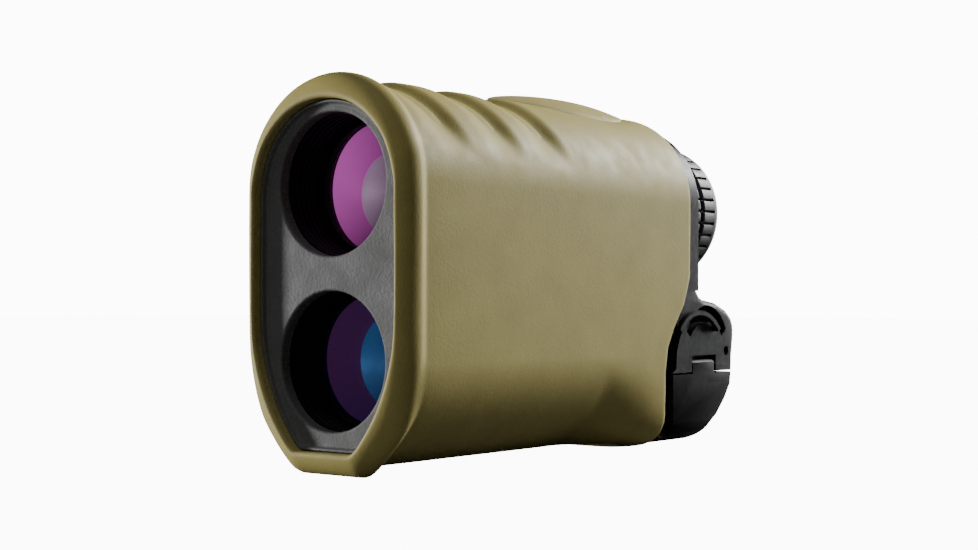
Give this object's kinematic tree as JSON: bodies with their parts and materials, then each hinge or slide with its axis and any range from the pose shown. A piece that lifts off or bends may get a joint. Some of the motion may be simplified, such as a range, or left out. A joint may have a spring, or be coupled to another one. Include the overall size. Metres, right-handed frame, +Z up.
{
  "type": "laser rangefinder",
  "caption": "Handheld laser rangefinder: rubber-armoured body with viewing and receiver objectives, ribbed eyepiece, top button and battery door.",
  "frame": {"origin": "bottom centre of the bounding box, on the plane the front lip and rear heel stand on", "axes": "+Y from the objectives to the eyepiece, +Z up, +X to the side with the strap bar and the door latch"},
  "size_m": [0.0412, 0.119, 0.0755],
  "materials": {
    "armour_rubber": "matte moulded olive-tan rubber",
    "black_plastic": "satin moulded black",
    "bezel_plastic": "fine-textured dark grey",
    "black_alloy": "black anodised",
    "coated_glass": "polished, anti-reflection coated",
    "clear_glass": "polished",
    "circuit_board": "solder-masked laminate",
    "chip_plastic": "moulded epoxy",
    "steel": "plain",
    "brass": "plain",
    "flex_film": "polyimide film",
    "eyecup_rubber": "matte moulded",
    "battery_wrap": "printed-film wrap, left blank"
  },
  "bodies": {
    "rangefinder_body": {"armor_sleeve": "armour_rubber", "housing_left": "black_plastic", "housing_right": "black_plastic", "optical_chassis": "black_plastic", "display_frame": "black_plastic", "receiver_baffle_cone": "black_plastic", "front_bezel": "bezel_plastic", "objective_tube": "black_alloy", "objective_retainer": "black_alloy", "receiver_tube": "black_alloy", "receiver_retainer": "black_alloy", "laser_mount": "black_alloy", "eyepiece_barrel": "black_alloy", "objective_lens": "coated_glass", "receiver_lens": "coated_glass", "receiver_filter": "coated_glass", "laser_splitter": "clear_glass", "half_penta_prism": "clear_glass", "roof_prism": "clear_glass", "display_glass": "clear_glass", "main_board": "circuit_board", "receiver_board": "circuit_board", "fire_switch": "chip_plastic", "processor_chip": "chip_plastic", "pulse_transformer": "chip_plastic", "switch_bracket": "steel", "case_screw_front": "steel", "case_screw_rear": "steel", "strap_bar": "steel", "door_hinge_pin": "steel", "battery_contact_spring": "steel", "detector": "steel", "battery_contact_plate": "brass", "laser_diode": "brass", "switch_flex": "flex_film", "battery": "battery_wrap"},
    "fire_button_body": {"fire_button": "armour_rubber"},
    "battery_door_body": {"battery_door": "black_plastic"},
    "diopter_body": {"diopter_ring": "black_plastic", "eyecup": "eyecup_rubber"},
    "ocular_body": {"ocular_cell": "black_alloy", "field_lens": "clear_glass", "eye_lens": "clear_glass"}
  },
  "joints": [
    {"name": "fire_button_press", "type": "slide", "parent": "rangefinder_body", "child": "fire_button_body", "axis": [0, 0, -1], "range_m": [0, 0.0009], "stiffness_N_per_m": 800, "springref_m": -0.0005},
    {"name": "diopter_turn", "type": "hinge", "parent": "rangefinder_body", "child": "diopter_body", "pos_m": [0, 0.0456, 0.0523], "axis": [0, 1, 0], "range_deg": [-60, 60]},
    {"name": "ocular_focus", "type": "slide", "parent": "rangefinder_body", "child": "ocular_body", "axis": [0, 1, 0], "range_m": [-0.0014, 0.0014]},
    {"name": "battery_door_open", "type": "hinge", "parent": "rangefinder_body", "child": "battery_door_body", "pos_m": [-0.0182, 0.0433, 0.01575], "axis": [0, 1, 0], "range_deg": [0, 95]}
  ],
  "couplings": [
    {"joint": "ocular_focus", "follows": "diopter_turn", "m_per_rad": 0.0013}
  ]
}
